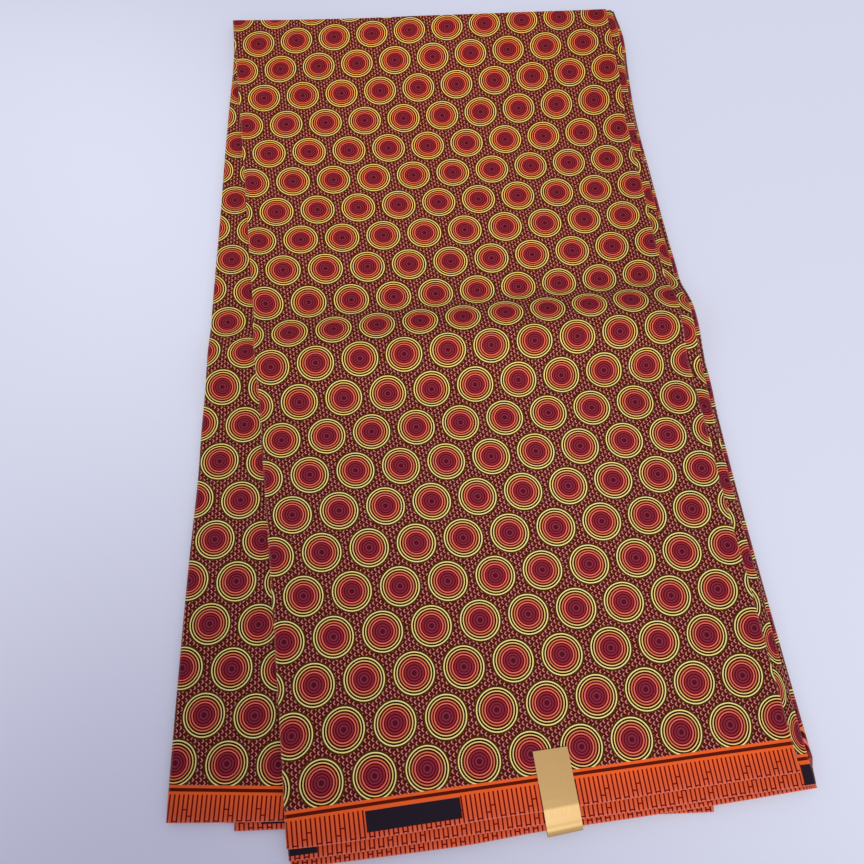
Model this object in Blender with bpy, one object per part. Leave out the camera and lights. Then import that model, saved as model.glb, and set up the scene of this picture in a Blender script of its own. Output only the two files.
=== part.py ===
# Wax print cotton, folded flat for sale.
# A cut of cloth is doubled, selvedge to selvedge, then folded backwards and forwards into panels.
# A crease from packing stands up as a low ridge right across the folded cloth.
# X is across the panels, Y runs up from the selvedge ends to the doubling fold, Z is up.
# The tables are in millimetres, with Y measured from the top panel's selvedge end.

import math

import bmesh
import bpy

MM = 0.001

# Thicknesses: one wall is a doubled panel, pressed flat
WALL = 1.0
GAP = 0.3
PITCH = WALL + GAP
HIDDEN_THICK = 1.6

# The packing crease, a ridge that runs along X
CREASE_UP = 289.0
CREASE_NEAR = 37.0
CREASE_FAR = 38.0
CREASE_HIGH = 13.4
CREASE_HIGH_AT = 175.0
CREASE_FALL = 0.0127
CREASE_FADE_FROM = -112.0
CREASE_FADE = 0.085

# The long sides of the panels, a row for each section up the cloth
SIDE_COLUMNS = ("up", "top_left", "top_right", "third_right", "fanned_left")
SIDE_ROWS = (
    (0.0, -121.8, 173.7, 182.4, -190.2),
    (2.8, -121.8, 173.6, 182.7, -189.9),
    (5.0, -121.8, 173.5, 184.2, -189.7),
    (10.0, -121.8, 173.5, 183.8, -189.4),
    (50.0, -122.1, 172.3, 182.3, -185.6),
    (110.0, -122.9, 170.6, 180.2, -179.6),
    (160.0, -123.8, 168.4, 178.9, -174.2),
    (215.0, -124.9, 167.3, 178.2, -167.5),
    (252.0, -125.3, 166.0, 178.8, -164.2),
    (283.0, -125.3, 162.6, 174.4, -159.6),
    (305.0, -126.3, 163.9, 174.0, -158.0),
    (329.0, -126.6, 164.0, 175.0, -156.2),
    (354.0, -127.3, 163.0, 173.9, -153.8),
    (406.0, -128.3, 163.1, 172.6, -148.5),
    (461.0, -129.4, 162.7, 171.6, -143.4),
    (504.0, -130.4, 165.9, 174.3, -139.0),
    (541.0, -131.4, 167.0, 177.6, -134.8),
    (566.0, -132.2, 167.8, 175.2, -133.3),
    (590.0, -132.8, 168.6, 174.2, -133.4),
)
SECOND_SHARE = 0.7
LEFT_STEP = 0.7

# The selvedge ends, each a short line of (across, up) from left to right
TOP_END = ((-122.0, -3.7), (-100.0, -4.1), (-60.0, -3.9), (-10.0, -2.3), (30.0, -1.9), (97.0, -0.6), (174.0, 0.5))
SECOND_END = ((-121.0, -10.1), (-60.0, -9.9), (-15.0, -9.1), (50.0, -8.5), (130.0, -7.7), (181.0, -7.2))
THIRD_END = ((-120.0, -13.9), (-60.0, -14.3), (-20.0, -14.1), (15.0, -12.5), (75.0, -11.8), (183.0, -9.2))
FANNED_END = ((-189.0, 16.6), (-123.5, 9.7), (-60.0, 5.0), (178.0, 3.0))
HIDDEN_END = ((-187.0, 21.0), (-150.0, 13.0), (118.0, -9.0), (180.0, -4.0))

# The doubling fold at the far end, of the three upper panels, the fanned one and the hidden layers
UPPER_FOLD = ((-130.0, 585.7), (-76.0, 581.2), (-23.0, 577.9), (30.0, 575.3), (175.0, 568.2))
FANNED_FOLD = ((-134.0, 588.6), (175.0, 557.0))
HIDDEN_FOLD = ((-132.0, 579.5), (172.0, 564.0))

# The lower panel lies turned by a few degrees: slope of its ends and lean of its sides
LOWER_LEAN = 0.0833
LOWER_CORNER_LEFT = (-151.5, 7.7)
LOWER_CORNER_RIGHT = (121.3, -15.0)
LOWER_FOLD_UP = 569.3

# The mesh of a panel: sections below, on and above the crease, and strips across
SECTIONS_BELOW = 8
SECTIONS_CREASE = 12
SECTIONS_ABOVE = 8
STRIPS = 7
LEAST_STRIP = 5.0

# The hidden layers: rolls at the edge, how far each stands out, and the ledge beside the lower panel
ROLLS = 4
ROLL_SHARE = 0.3
ROLL_LEAST = 0.1
ROLL_MOST = 0.9
LEDGE_CLEAR = 0.5
LEDGE_STEP = 0.3
HIDDEN_IN_LEFT = 3.0
HIDDEN_IN_RIGHT = 4.0
FANNED_IN_RIGHT = 5.0

# The foil label: a strip stuck on the top panel, bent over the selvedge ends and tucked under them
LABEL_WIDE = 20.4
LABEL_THICK = 0.4
LABEL_MID = 31.8
LABEL_LEAN = 0.048
LABEL_TOP_UP = 30.0
LABEL_TWIST = 0.016
LABEL_TWIST_MORE = 0.0012
LABEL_FLAT_TO = 2.0
LABEL_FLAT_STEPS = 7
LABEL_PROUD = 1.4
LABEL_TUCK = 8.0

# Where the foil steps down past the top panel's end: (up, how far below its height on the top panel)
LABEL_DROP = ((0.4, 0.02), (-1.8, 0.16), (-4.0, 0.6), (-6.2, 1.02), (-8.6, 1.18), (-10.4, 1.3), (-12.1, 1.8))

# Colour, roughness and metallic value of each finish
PRINTED_COTTON = ((0.30, 0.05, 0.03, 1.0), 0.8, 0.0)
ORANGE_SELVEDGE = ((0.80, 0.13, 0.03, 1.0), 0.8, 0.0)
GOLD_FOIL = ((0.72, 0.52, 0.22, 1.0), 0.35, 0.9)
SHARP_DEGREES = 50


def follow(rows, at):
    # A smooth line through the rows, level beyond both ends
    if at <= rows[0][0]:
        return rows[0][1]
    if at >= rows[-1][0]:
        return rows[-1][1]
    spot = 0
    while at > rows[spot + 1][0]:
        spot += 1

    def slope(index):
        low = rows[max(index - 1, 0)]
        high = rows[min(index + 1, len(rows) - 1)]
        return (high[1] - low[1]) / (high[0] - low[0])

    (x0, y0), (x1, y1) = rows[spot], rows[spot + 1]
    span = x1 - x0
    t = (at - x0) / span
    ease = t * t * (3.0 - 2.0 * t)
    start = t * (1.0 - t) ** 2 * span * slope(spot)
    stop = t * t * (t - 1.0) * span * slope(spot + 1)
    return y0 + (y1 - y0) * ease + start + stop


def side(name):
    column = SIDE_COLUMNS.index(name)
    rows = [(row[0], row[column]) for row in SIDE_ROWS]
    return lambda up: follow(rows, up)


top_left = side("top_left")
top_right = side("top_right")
third_right = side("third_right")
fanned_left = side("fanned_left")


def second_right(up):
    return top_right(up) + SECOND_SHARE * (third_right(up) - top_right(up))


def lower_left(up):
    return LOWER_CORNER_LEFT[0] + (up - LOWER_CORNER_LEFT[1]) * LOWER_LEAN


def lower_right(up):
    return LOWER_CORNER_RIGHT[0] + (up - LOWER_CORNER_RIGHT[1]) * LOWER_LEAN


def lower_end(across):
    return LOWER_CORNER_LEFT[1] - (across - LOWER_CORNER_LEFT[0]) * LOWER_LEAN


def lower_fold(across):
    return LOWER_FOLD_UP - across * LOWER_LEAN


def end(rows):
    return lambda across: follow(rows, across)


def ridge(across, up):
    # Height of the crease here, and how much longer its slope is than its plan
    reach = CREASE_FAR if up > CREASE_UP else CREASE_NEAR
    away = (up - CREASE_UP) / reach
    if abs(away) >= 1.0:
        return 0.0, 1.0
    high = CREASE_HIGH - CREASE_FALL * (CREASE_HIGH_AT - across)
    high -= CREASE_FADE * max(0.0, CREASE_FADE_FROM - across)
    slope = high * 0.5 * math.pi / reach * math.sin(math.pi * away)
    return high * 0.5 * (1.0 + math.cos(math.pi * away)), math.hypot(1.0, slope)


def lift(across, up, level):
    # Height above the floor of a layer that lies at this level where the cloth is flat
    high, steep = ridge(across, up)
    return high + level * steep


def sections(low, high):
    # Places up the cloth, on shared lines over the crease so that the layers nest
    foot = CREASE_UP - CREASE_NEAR
    head = CREASE_UP + CREASE_FAR
    below = [low + (foot - low) * i / SECTIONS_BELOW for i in range(SECTIONS_BELOW)]
    over = [foot + (head - foot) * i / SECTIONS_CREASE for i in range(SECTIONS_CREASE)]
    above = [head + (high - head) * i / SECTIONS_ABOVE for i in range(SECTIONS_ABOVE + 1)]
    return below + over + above


def plan(left, right, low, high, shares):
    # Rows of (across, up) places, from the selvedge end to the doubling fold
    count = SECTIONS_BELOW + SECTIONS_CREASE + SECTIONS_ABOVE + 1
    rows = []
    for row in range(count):
        places = []
        for share in shares:
            across = 0.0
            up = 0.0
            # The sides depend on the height up the cloth and the ends on the place across, so settle both
            for _ in range(4):
                across = left(up) + share(up) * (right(up) - left(up))
                up = sections(low(across), high(across))[row]
            places.append((across, up))
        rows.append(places)
    return rows


def strips(left, right):
    # Shares of the width: the left side, the place where the crease starts to fade, then even strips
    def share(up, part):
        wide = right(up) - left(up)
        fade = max(CREASE_FADE_FROM - left(up), LEAST_STRIP) / wide
        return fade + part * (1.0 - fade)

    even = [lambda up, part=i / STRIPS: share(up, part) for i in range(STRIPS + 1)]
    return [lambda up: 0.0] + even


def rim(rows):
    # The places round the edge, anticlockwise from above, each with its outward direction
    last = len(rows) - 1
    wide = len(rows[0]) - 1
    spots = [(0, c) for c in range(wide)]
    spots += [(r, wide) for r in range(last)]
    spots += [(last, c) for c in range(wide, 0, -1)]
    spots += [(r, 0) for r in range(last, 0, -1)]
    outward = []
    for index, (r, c) in enumerate(spots):
        before = spots[index - 1]
        after = spots[(index + 1) % len(spots)]
        ax, ay = rows[before[0]][before[1]]
        px, py = rows[r][c]
        bx, by = rows[after[0]][after[1]]
        in_x, in_y = unit(px - ax, py - ay)
        out_x, out_y = unit(bx - px, by - py)
        outward.append(unit(in_y + out_y, -in_x - out_x))
    return spots, outward


def unit(x, y):
    size = math.hypot(x, y)
    return x / size, y / size


def solid(name, rows, under, over, edge, surface):
    # A closed wall on the plan: under and over give its two faces, edge gives the points round its rim
    spots, outward = rim(rows)
    shape = bmesh.new()

    def grid(height):
        return [[shape.verts.new((x, y, height(x, y))) for x, y in row] for row in rows]

    top = grid(over)
    bottom = grid(under)
    for r in range(len(rows) - 1):
        for c in range(len(rows[0]) - 1):
            shape.faces.new((top[r][c], top[r][c + 1], top[r + 1][c + 1], top[r + 1][c]))
            shape.faces.new((bottom[r][c], bottom[r + 1][c], bottom[r + 1][c + 1], bottom[r][c + 1]))
    rings = [[top[r][c] for r, c in spots]]
    steps = len(edge(1.0))
    loops = [[] for _ in range(steps)]
    for (r, c), (nx, ny) in zip(spots, outward):
        x, y = rows[r][c]
        high = over(x, y)
        low = under(x, y)
        for loop, (share, stand) in zip(loops, edge(high - low)):
            point = (x + nx * stand, y + ny * stand, low + (high - low) * share)
            loop.append(shape.verts.new(point))
    rings += loops
    rings.append([bottom[r][c] for r, c in spots])
    around = len(spots)
    for upper, lower in zip(rings, rings[1:]):
        for i in range(around):
            j = (i + 1) % around
            shape.faces.new((upper[i], lower[i], lower[j], upper[j]))
    return finish(name, shape, surface)


def round_edge(thick):
    # A half round, as where pressed cloth turns back on itself
    points = []
    for degrees in (45, 0, -45):
        turn = math.radians(degrees)
        points.append((0.5 + 0.5 * math.sin(turn), 0.5 * WALL * math.cos(turn)))
    return points


def layered_edge(thick):
    # Rolls one above another with a groove between each two
    roll = thick / ROLLS
    stand = min(ROLL_MOST, ROLL_LEAST + ROLL_SHARE * roll)
    points = []
    for i in range(ROLLS):
        points.append((1.0 - (i + 0.5) / ROLLS, stand))
        if i < ROLLS - 1:
            points.append((1.0 - (i + 1.0) / ROLLS, 0.0))
    return points


def finish(name, shape, surface):
    bmesh.ops.recalc_face_normals(shape, faces=shape.faces)
    mesh = bpy.data.meshes.new(name)
    shape.to_mesh(mesh)
    shape.free()
    mesh.shade_smooth()
    mesh.set_sharp_from_angle(angle=math.radians(SHARP_DEGREES))
    thing = bpy.data.objects.new(name, mesh)
    bpy.context.scene.collection.objects.link(thing)
    material = bpy.data.materials.new(name)
    material.use_nodes = True
    shader = material.node_tree.nodes["Principled BSDF"]
    colour, roughness, metallic = surface
    shader.inputs["Base Color"].default_value = colour
    shader.inputs["Roughness"].default_value = roughness
    shader.inputs["Metallic"].default_value = metallic
    mesh.materials.append(material)
    return thing


def panel(name, level, left, right, low, high, surface):
    # The outline is that of the rounded edge, so the flat faces stop half a wall inside it
    left = shifted(left, 0.5 * WALL)
    right = shifted(right, -0.5 * WALL)
    rows = plan(left, right, shifted(low, 0.5 * WALL), shifted(high, -0.5 * WALL), strips(left, right))
    under = lambda x, y: lift(x, y, level)
    over = lambda x, y: lift(x, y, level + WALL)
    return solid(name, rows, under, over, round_edge, surface)


def hidden_layers():
    # Flat underneath, with a ledge on both sides of the lower panel to carry the fanned one
    def left(up):
        return fanned_left(up) + HIDDEN_IN_LEFT

    def right(up):
        return third_right(up) - HIDDEN_IN_RIGHT

    def at(place):
        return lambda up: (place(up) - left(up)) / (right(up) - left(up))

    near = [lambda up: lower_left(up) - LEDGE_CLEAR - LEDGE_STEP, lambda up: lower_left(up) - LEDGE_CLEAR]
    far = [lambda up: lower_right(up) + LEDGE_CLEAR, lambda up: lower_right(up) + LEDGE_CLEAR + LEDGE_STEP]
    inner = strips(lower_left, lower_right)[1:-1]

    def across_lower(part):
        return lambda up: lower_left(up) + part(up) * (lower_right(up) - lower_left(up))

    middle = [across_lower(part) for part in inner]
    shares = [lambda up: 0.0] + [at(place) for place in near + middle + far] + [lambda up: 1.0]
    rows = plan(left, right, end(HIDDEN_END), end(HIDDEN_FOLD), shares)

    def over(x, y):
        clear = LEDGE_CLEAR + LEDGE_STEP * 0.5
        beside = x < lower_left(y) - clear or x > lower_right(y) + clear
        return lift(x, y, HIDDEN_THICK + (PITCH if beside else 0.0))

    return solid("hidden_layers", rows, lambda x, y: 0.0, over, layered_edge, PRINTED_COTTON)


def label_path():
    # Middle line of the foil as (up, height): along the top panel, over the three ends and under the third
    half = 0.5 * LABEL_THICK
    on_top = level_of(5) + WALL + GAP + half
    third_face = level_of(3)
    flat = LABEL_TOP_UP - LABEL_FLAT_TO
    path = [(LABEL_TOP_UP - flat * i / LABEL_FLAT_STEPS, on_top) for i in range(LABEL_FLAT_STEPS + 1)]
    path += [(up, on_top - drop) for up, drop in LABEL_DROP]
    edge = follow(THIRD_END, LABEL_MID)
    bend = 0.5 * WALL + GAP + half
    for degrees in (60, 30, 0, -30, -60, -90):
        turn = math.radians(degrees)
        out = LABEL_PROUD + bend * math.cos(turn)
        path.append((edge - out, third_face + 0.5 * WALL + bend * math.sin(turn)))
    path += [(edge + LABEL_TUCK * share, third_face - GAP - half) for share in (0.25, 0.55, 1.0)]
    return path


def foil_label():
    path = label_path()
    shape = bmesh.new()
    rings = []
    for index, (up, high) in enumerate(path):
        back = path[max(index - 1, 0)]
        on = path[min(index + 1, len(path) - 1)]
        run, rise = unit(on[0] - back[0], on[1] - back[1])
        over_up = -rise * 0.5 * LABEL_THICK
        over_high = run * 0.5 * LABEL_THICK
        along = LABEL_TOP_UP - up
        middle = LABEL_MID + LABEL_LEAN * along
        twist = LABEL_TWIST + LABEL_TWIST_MORE * along
        ring = []
        for across, face in ((-0.5, 1), (0.5, 1), (0.5, -1), (-0.5, -1)):
            x = middle + across * LABEL_WIDE
            y = up + across * LABEL_WIDE * twist + face * over_up
            ring.append(shape.verts.new((x, y, high + face * over_high)))
        rings.append(ring)
    for one, two in zip(rings, rings[1:]):
        for i in range(4):
            j = (i + 1) % 4
            shape.faces.new((one[i], one[j], two[j], two[i]))
    shape.faces.new(rings[0])
    shape.faces.new(rings[-1])
    return finish("foil_label", shape, GOLD_FOIL)


def level_of(place):
    # Underside of a panel by its place in the pile: 1 is the lower panel, 5 the top one
    return HIDDEN_THICK + GAP + PITCH * (place - 1)


def shifted(edge_line, step):
    return lambda up: edge_line(up) + step


def settle(things):
    # Puts the middle of the part's box over the origin, with its underside on the floor, in metres
    points = [vertex.co for thing in things for vertex in thing.data.vertices]
    mid_x = 0.5 * (min(p.x for p in points) + max(p.x for p in points))
    mid_y = 0.5 * (min(p.y for p in points) + max(p.y for p in points))
    for thing in things:
        for vertex in thing.data.vertices:
            vertex.co = ((vertex.co.x - mid_x) * MM, (vertex.co.y - mid_y) * MM, vertex.co.z * MM)


def build():
    for old in list(bpy.data.objects):
        bpy.data.objects.remove(old, do_unlink=True)
    fold = end(UPPER_FOLD)
    things = [
        hidden_layers(),
        panel("lower_panel", level_of(1), lower_left, lower_right,
              lower_end, lower_fold, ORANGE_SELVEDGE),
        panel("fanned_panel", level_of(2), fanned_left, shifted(third_right, -FANNED_IN_RIGHT),
              end(FANNED_END), end(FANNED_FOLD), PRINTED_COTTON),
        panel("third_panel", level_of(3), shifted(top_left, 2.0 * LEFT_STEP), third_right,
              end(THIRD_END), fold, ORANGE_SELVEDGE),
        panel("second_panel", level_of(4), shifted(top_left, LEFT_STEP), second_right,
              end(SECOND_END), fold, ORANGE_SELVEDGE),
        panel("top_panel", level_of(5), top_left, top_right, end(TOP_END), fold, PRINTED_COTTON),
        foil_label(),
    ]
    settle(things)


build()
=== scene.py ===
import math

import bpy
import numpy as np
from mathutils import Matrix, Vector


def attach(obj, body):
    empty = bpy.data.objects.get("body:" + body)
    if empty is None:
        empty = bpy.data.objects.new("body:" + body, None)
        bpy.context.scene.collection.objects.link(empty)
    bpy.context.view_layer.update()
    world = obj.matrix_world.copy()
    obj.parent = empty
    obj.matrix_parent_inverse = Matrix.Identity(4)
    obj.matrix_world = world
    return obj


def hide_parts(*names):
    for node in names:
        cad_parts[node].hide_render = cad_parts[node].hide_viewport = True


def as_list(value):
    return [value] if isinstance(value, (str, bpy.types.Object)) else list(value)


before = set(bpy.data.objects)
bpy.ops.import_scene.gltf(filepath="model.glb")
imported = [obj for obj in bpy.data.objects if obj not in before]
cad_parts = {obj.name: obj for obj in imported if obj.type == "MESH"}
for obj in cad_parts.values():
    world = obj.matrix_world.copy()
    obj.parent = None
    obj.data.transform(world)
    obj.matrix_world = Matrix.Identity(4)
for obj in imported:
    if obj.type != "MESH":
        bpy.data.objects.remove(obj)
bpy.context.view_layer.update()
print("frame loaded:", sorted(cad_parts))

mm = 0.001

# where the cloth's own measuring lines lie in the frame: across from its centre, up from the selvedge end
clothPlace = {"acrossShift": 2.697, "upShift": -286.414}

# how the folded cloth lies, in millimetres
layers = {
    "hiddenThick": 1.6,
    "wall": 1.0,
    "gap": 0.3,
    "topLevel": 8.1,
    "edgeRound": 0.5,
}

packingCrease = {
    "up": 289.0,
    "near": 37.0,
    "far": 38.0,
    "high": 13.4,
    "highAt": 175.0,
    "fall": 0.0127,
    "fadeFrom": -112.0,
    "fade": 0.085,
    "slices": 81,
}

# long sides of the panels: up, top left, top right, third right, fanned left
sideLines = (
    (0.0, -121.8, 173.7, 182.4, -190.2),
    (2.8, -121.8, 173.6, 182.7, -189.9),
    (5.0, -121.8, 173.5, 184.2, -189.7),
    (10.0, -121.8, 173.5, 183.8, -189.4),
    (50.0, -122.1, 172.3, 182.3, -185.6),
    (110.0, -122.9, 170.6, 180.2, -179.6),
    (160.0, -123.8, 168.4, 178.9, -174.2),
    (215.0, -124.9, 167.3, 178.2, -167.5),
    (252.0, -125.3, 166.0, 178.8, -164.2),
    (283.0, -125.3, 162.6, 174.4, -159.6),
    (305.0, -126.3, 163.9, 174.0, -158.0),
    (329.0, -126.6, 164.0, 175.0, -156.2),
    (354.0, -127.3, 163.0, 173.9, -153.8),
    (406.0, -128.3, 163.1, 172.6, -148.5),
    (461.0, -129.4, 162.7, 171.6, -143.4),
    (504.0, -130.4, 165.9, 174.3, -139.0),
    (541.0, -131.4, 167.0, 177.6, -134.8),
    (566.0, -132.2, 167.8, 175.2, -133.3),
    (590.0, -132.8, 168.6, 174.2, -133.4),
)

# the second panel's right side: its share of the step out to the third panel, and how much further the
# corner stands out, by place up the cloth
cornerStep = {"share": 0.7, "out": ((-9.0, 1.9), (2.8, 1.9), (5.0, 0.0))}

# ends of the panels: lines of (across, up)
endLines = {
    "top": ((-122.0, -3.7), (-100.0, -4.1), (-60.0, -3.9), (-30.0, -3.1), (-10.0, -2.3), (30.0, -1.9),
            (60.0, -1.5), (97.0, -0.6), (130.0, -0.1), (174.0, 0.5)),
    "second": ((-121.0, -10.1), (-60.0, -9.9), (-15.0, -9.1), (50.0, -8.5), (100.0, -8.2), (130.0, -7.7),
               (181.0, -7.2)),
    "third": ((-120.0, -13.9), (-60.0, -14.3), (-20.0, -14.1), (15.0, -12.5), (47.0, -12.1), (75.0, -11.8),
              (130.0, -10.8), (170.0, -9.5), (183.0, -9.2)),
    "fanned": ((-189.0, 16.6), (-123.5, 9.7), (-60.0, 5.0), (178.0, 3.0)),
    "hidden": ((-187.0, 21.0), (-150.0, 13.0), (118.0, -9.0), (180.0, -4.0)),
    "upperFold": ((-130.0, 585.7), (-76.0, 581.2), (-23.0, 577.9), (30.0, 575.3), (175.0, 568.2)),
    "fannedFold": ((-134.0, 588.6), (175.0, 557.0)),
    "hiddenFold": ((-132.0, 579.5), (172.0, 564.0)),
}
lowerLie = {"lean": 0.0833, "left": (-151.5, 7.7), "right": (121.3, -15.0), "foldUp": 569.3}

# soft troughs and ridges left by folding and handling: ends, half width and height in millimetres
softCreases = (
    (-96.0, 38.0, -84.0, 214.0, 9.0, -0.34),
    (-31.0, 66.0, -44.0, 246.0, 12.0, 0.42),
    (47.0, 8.0, 38.0, 171.0, 10.0, -0.30),
    (121.0, 52.0, 133.0, 233.0, 8.0, 0.36),
    (-118.0, 246.0, -36.0, 238.0, 6.0, -0.42),
    (8.0, 243.0, 104.0, 237.0, 5.0, -0.30),
    (-108.0, 340.0, 17.0, 337.0, 7.0, -0.38),
    (61.0, 334.0, 158.0, 341.0, 6.0, -0.46),
    (-83.0, 362.0, -91.0, 548.0, 11.0, 0.40),
    (-14.0, 371.0, -3.0, 492.0, 9.0, -0.32),
    (68.0, 396.0, 57.0, 561.0, 13.0, 0.38),
    (139.0, 352.0, 128.0, 466.0, 7.0, -0.36),
    (-119.0, 146.0, 20.0, 143.0, 4.0, -0.22),
    (70.0, 141.0, 168.0, 144.0, 4.5, -0.26),
    (-122.0, 433.0, -30.0, 436.0, 4.0, -0.24),
    (22.0, 437.0, 160.0, 432.0, 4.5, -0.20),
    (-170.0, 88.0, -148.0, 236.0, 6.0, 0.30),
    (-149.0, 330.0, -138.0, 470.0, 5.0, -0.26),
)

# how each crease bows and fades out, as shares of its length
creaseRun = {"bow": 3.0, "fade": 0.3, "atEnd": 0.5}

# slow swell of the whole pile: its height, and the scale and start of its waves
broadSwell = {"high": 0.16, "across": (31.0, 0.6), "up": (47.0, 1.1)}
# height, scale across, scale up (below zero, the wave leans back) and start
leaningSwells = ((0.10, 13.7, -71.0, 2.0), (0.08, 88.0, 19.3, 0.0))

# the grids that the shells are made on, in millimetres, and how much finer they are over the crease
gridWork = {
    "wide": 300.0,
    "tall": 580.0,
    "flatPart": 260.0,
    "creasePart": 75.0,
    "finer": 0.6,
    "rounds": 6,
}

# a pressed edge from the top down: the angle round the fold, then its share of the height and how far it
# stands out where the cloth ends in two plies
pressedSteps = (
    (62, 0.985, 0.16), (34, 0.93, 0.26), (14, 0.60, 0.26), (4, 0.55, 0.02), (0, 0.50, -1.4),
    (-4, 0.45, 0.02), (-14, 0.40, 0.30), (-34, 0.07, 0.30), (-62, 0.015, 0.20),
)

# the rolls round the hidden folds; each sway has its most, its scale, how much longer it is on each roll down
# and how much further on it starts
rollWork = {
    "spacing": 5.0,
    "sways": ((0.55, 41.0, 7.0, 1.7), (0.35, 17.0, 2.3, 2.9)),
    "swayShare": 0.9,
    # place down each roll, and how far it stands out there
    "outline": ((0.12, 0.30), (0.5, 0.55), (0.88, 0.30), (1.0, -0.25)),
    "printShift": 11.0,
}


def ease(share):
    # from 0 to 1, level at both ends
    share = np.clip(share, 0.0, 1.0)
    return share * share * (3.0 - 2.0 * share)


def follow(rows, at, column=1):
    # smooth line through one column of the rows, level beyond both ends
    places = np.array([row[0] for row in rows])
    values = np.array([row[column] for row in rows])
    slopes = np.empty(len(rows))
    slopes[1:-1] = (values[2:] - values[:-2]) / (places[2:] - places[:-2])
    slopes[0] = (values[1] - values[0]) / (places[1] - places[0])
    slopes[-1] = (values[-1] - values[-2]) / (places[-1] - places[-2])
    at = np.clip(np.asarray(at, float), places[0], places[-1])
    spot = np.clip(np.searchsorted(places, at, side="right") - 1, 0, len(rows) - 2)
    span = places[spot + 1] - places[spot]
    t = (at - places[spot]) / span
    bend = t * (1.0 - t) ** 2 * span * slopes[spot] + t * t * (t - 1.0) * span * slopes[spot + 1]
    return values[spot] + (values[spot + 1] - values[spot]) * ease(t) + bend


def sideLine(column):
    return lambda up: follow(sideLines, up, column)


def endLine(name):
    return lambda across: follow(endLines[name], across)


def moved(line, step):
    return lambda at: line(at) + step


topLeft, topRight, thirdRight, fannedLeft = (sideLine(column) for column in (1, 2, 3, 4))


def secondRight(up):
    # most of the way out to the third panel's side, and further at the corner
    step = cornerStep["share"] * (thirdRight(up) - topRight(up))
    return topRight(up) + step + follow(cornerStep["out"], up)


def lowerLeft(up):
    return lowerLie["left"][0] + (up - lowerLie["left"][1]) * lowerLie["lean"]


def lowerRight(up):
    return lowerLie["right"][0] + (up - lowerLie["right"][1]) * lowerLie["lean"]


def lowerEnd(across):
    return lowerLie["left"][1] - (across - lowerLie["left"][0]) * lowerLie["lean"]


def lowerFold(across):
    return lowerLie["foldUp"] - across * lowerLie["lean"]


def creaseHeight(across):
    c = packingCrease
    high = c["high"] - c["fall"] * (c["highAt"] - across)
    return high - c["fade"] * np.maximum(0.0, c["fadeFrom"] - across)


def creaseShape(across, up):
    # height of the packing crease and how steep it makes the cloth
    c = packingCrease
    reach = np.where(up > c["up"], c["far"], c["near"])
    away = np.clip((up - c["up"]) / reach, -1.0, 1.0)
    high = creaseHeight(across)
    slope = high * 0.5 * math.pi / reach * np.sin(math.pi * away)
    return high * 0.5 * (1.0 + np.cos(math.pi * away)), np.hypot(1.0, slope)


def relief(across, up):
    # the soft troughs and ridges on the top of the pile, and its swell
    run, broad = creaseRun, broadSwell
    total = np.zeros_like(across)
    for x0, y0, x1, y1, half, height in softCreases:
        runX, runY = x1 - x0, y1 - y0
        long = math.hypot(runX, runY)
        share = ((across - x0) * runX + (up - y0) * runY) / long ** 2
        aside = ((across - x0) * runY - (up - y0) * runX) / long
        bow = run["bow"] * np.sin(math.pi * np.clip(share, 0.0, 1.0)) * math.copysign(1.0, height)
        fade = ease(np.minimum(share, 1.0 - share) / run["fade"] + run["atEnd"])
        total += height * fade * np.exp(-(((aside + bow) / half) ** 2))
    (scaleX, startX), (scaleY, startY) = broad["across"], broad["up"]
    swell = broad["high"] * np.sin(across / scaleX + startX) * np.sin(up / scaleY + startY)
    for high, scaleX, scaleY, start in leaningSwells:
        swell += high * np.sin(across / scaleX + up / scaleY + start)
    return total + swell


def layHeight(across, up, level):
    # height above the floor of a layer that lies at this level where the cloth is flat
    high, steep = creaseShape(across, up)
    return high + level * steep + relief(across, up) * level / layers["topLevel"]


def levelOf(place):
    # level of a panel's underside, counted up from the hidden folds
    return layers["hiddenThick"] + layers["gap"] + (layers["wall"] + layers["gap"]) * (place - 1)


def upSteps(low, high, fine):
    # places up the cloth, closer together over the packing crease
    c, g = packingCrease, gridWork
    foot, head = c["up"] - c["near"], c["up"] + c["far"]
    flat, over = int(g["flatPart"] / fine), int(g["creasePart"] / (fine * g["finer"]))
    near = low[..., None] + (foot - low[..., None]) * (np.arange(flat) / flat)
    middle = foot + (head - foot) * (np.arange(over) / over) + 0.0 * low[..., None]
    rest = head + (high[..., None] - head) * (np.arange(flat + 1) / flat)
    return np.concatenate([near, middle, rest], axis=-1)


def planGrid(left, right, low, high, fine, columns=None):
    # rows of places from the selvedge end to the doubling fold: across and up, in millimetres
    g = gridWork
    shares = np.linspace(0.0, 1.0, int(g["wide"] / fine) + 1)
    width = len(columns) if columns else len(shares)
    count = upSteps(np.zeros(1), np.zeros(1), fine).shape[-1]
    up = np.tile(np.linspace(0.0, g["tall"], count)[:, None], (1, width))
    for _ in range(g["rounds"]):
        if columns:
            across = np.stack([column(line) for column, line in zip(columns, up.T)], axis=1)
        else:
            across = left(up) + shares * (right(up) - left(up))
        up = np.stack([np.diagonal(upSteps(low(line), high(line), fine)) for line in across.T], axis=1)
    return across, up


def rimOf(across, up):
    # index pairs round the edge, anticlockwise from above, with the outward direction at each
    last, wide = across.shape[0] - 1, across.shape[1] - 1
    spots = [(0, c) for c in range(wide)] + [(r, wide) for r in range(last)]
    spots += [(last, c) for c in range(wide, 0, -1)] + [(r, 0) for r in range(last, 0, -1)]
    rows, cols = np.array(spots).T
    x, y = across[rows, cols], up[rows, cols]
    inX, inY = x - np.roll(x, 1), y - np.roll(y, 1)
    outX, outY = np.roll(x, -1) - x, np.roll(y, -1) - y
    inLong, outLong = np.hypot(inX, inY), np.hypot(outX, outY)
    nx = inY / inLong + outY / outLong
    ny = -inX / inLong - outX / outLong
    size = np.hypot(nx, ny)
    return rows, cols, nx / size, ny / size


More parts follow.
